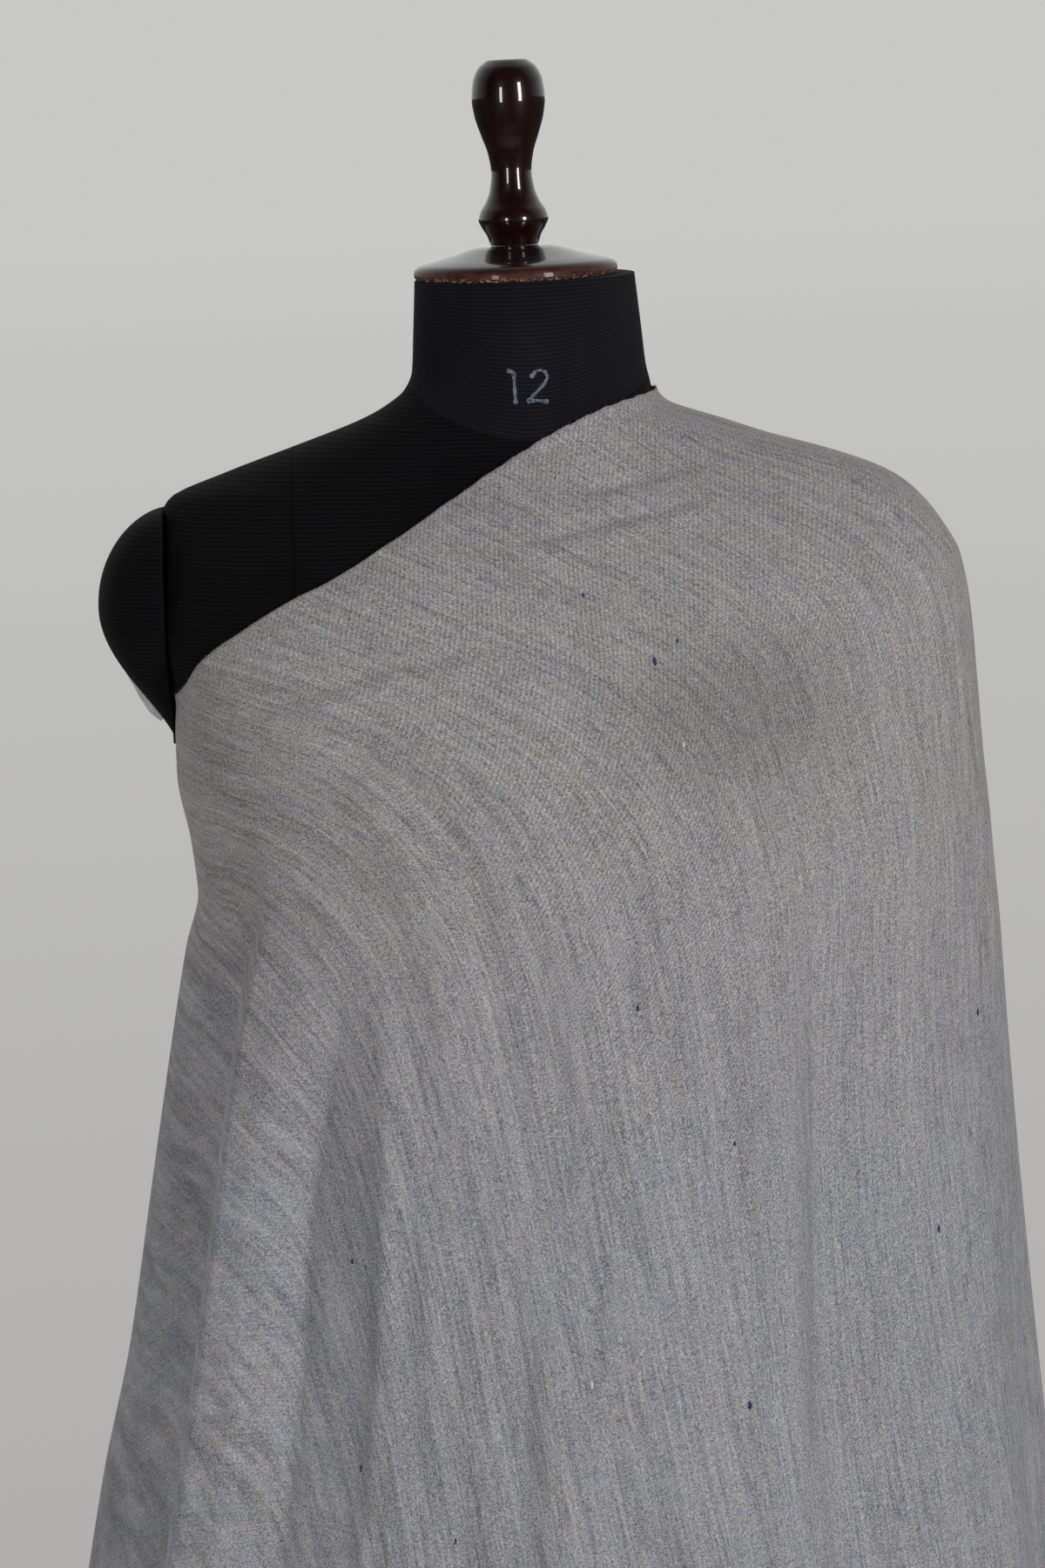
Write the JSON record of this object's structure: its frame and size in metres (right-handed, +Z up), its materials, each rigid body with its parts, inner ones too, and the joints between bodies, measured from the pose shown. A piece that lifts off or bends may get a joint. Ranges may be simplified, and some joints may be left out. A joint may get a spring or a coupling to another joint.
{
  "type": "pashmina shawl on a limbless dress form with a stand",
  "caption": "Soft woven shawl draped over one shoulder and under the other arm of a black jersey dress form with a turned wooden finial, on a round floor stand.",
  "frame": {"origin": "centre of the base's flat underside, on the floor", "axes": "+Z up along the pole; the front faces -Y; +X is the side of the covered shoulder"},
  "size_m": [0.599, 0.4286, 1.5895],
  "materials": {
    "pashmina": "fine twill of blue and beige yarns, soft brushed nap",
    "jersey": "stretched black ribbed jersey",
    "mahogany": "turned, dark stain, high gloss lacquer",
    "stand_wood": "dark stain, satin lacquer",
    "pole_steel": "satin plated tube"
  },
  "bodies": {
    "root": {"base": "stand_wood", "pole": "pole_steel", "collar": "pole_steel", "flange": "stand_wood", "torso": "jersey", "neck_band": "jersey", "arm_cap_bare": "jersey", "arm_cap_covered": "jersey", "neck_cap": "mahogany", "finial": "mahogany", "shawl_front": "pashmina", "shawl_back": "pashmina", "shawl_start": "pashmina"}
  },
  "joints": []
}
